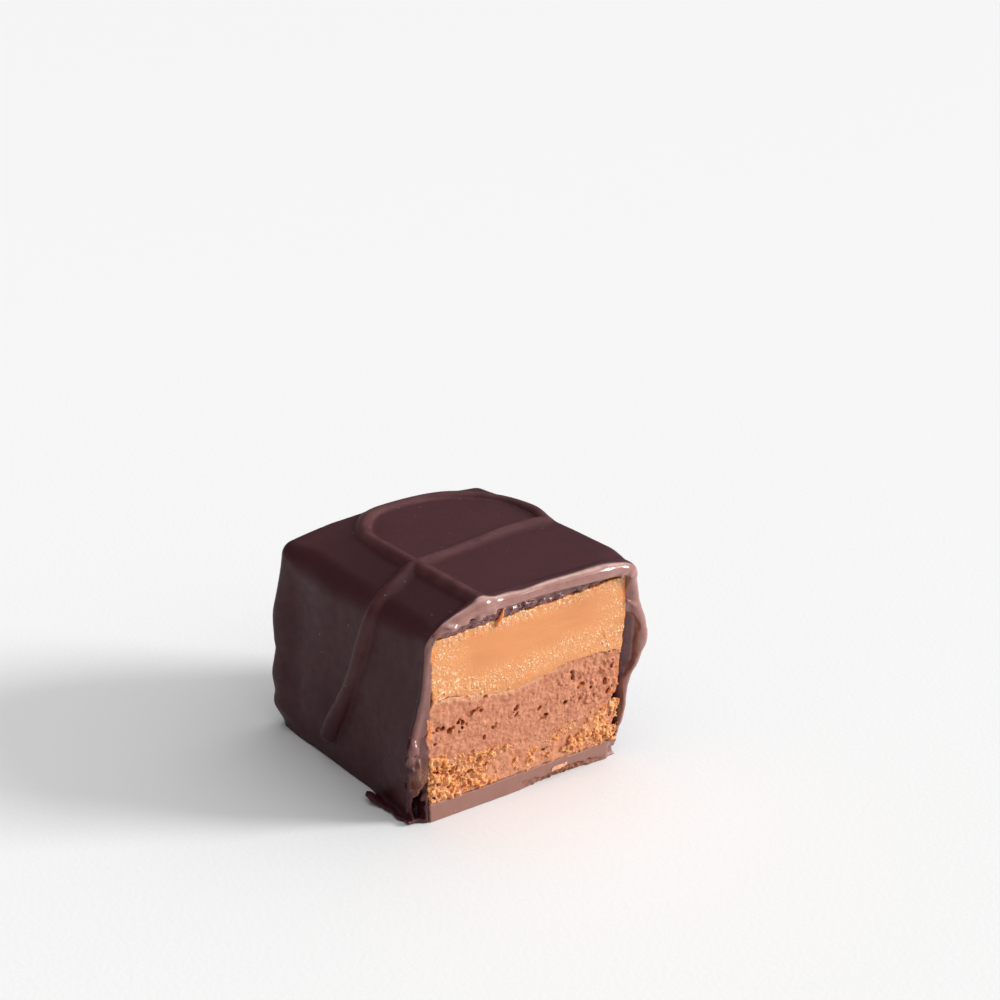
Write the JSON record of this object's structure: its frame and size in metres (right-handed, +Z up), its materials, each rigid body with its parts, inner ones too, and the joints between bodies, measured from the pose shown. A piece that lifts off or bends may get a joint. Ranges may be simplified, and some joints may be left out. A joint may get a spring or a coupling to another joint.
{
  "type": "fudge cube",
  "caption": "Bite-sized chocolate cut through: a dark coating with a piped looped string wraps caramel, chocolate fudge and biscuit crumb on a chocolate base.",
  "frame": {"origin": "middle of the bounding box on the resting face", "axes": "+Z up; -Y the way the cut face looks; +X along the cut, to the right as seen from in front of it"},
  "size_m": [0.0316, 0.0302, 0.0252],
  "materials": {
    "dark_chocolate": "satin dark chocolate, glossy where it was piped or smeared",
    "caramel": "soft caramel fudge, faintly sugary and moist on the cut",
    "chocolate_fudge": "matt, fine-grained chocolate fudge with small pits",
    "biscuit_crumb": "coarse, dry golden crumb",
    "base_chocolate": "cut chocolate, slightly dull"
  },
  "bodies": {
    "root": {"coating": "dark_chocolate", "caramel_layer": "caramel", "fudge_layer": "chocolate_fudge", "crumb_layer": "biscuit_crumb", "chocolate_base": "base_chocolate"}
  },
  "joints": []
}
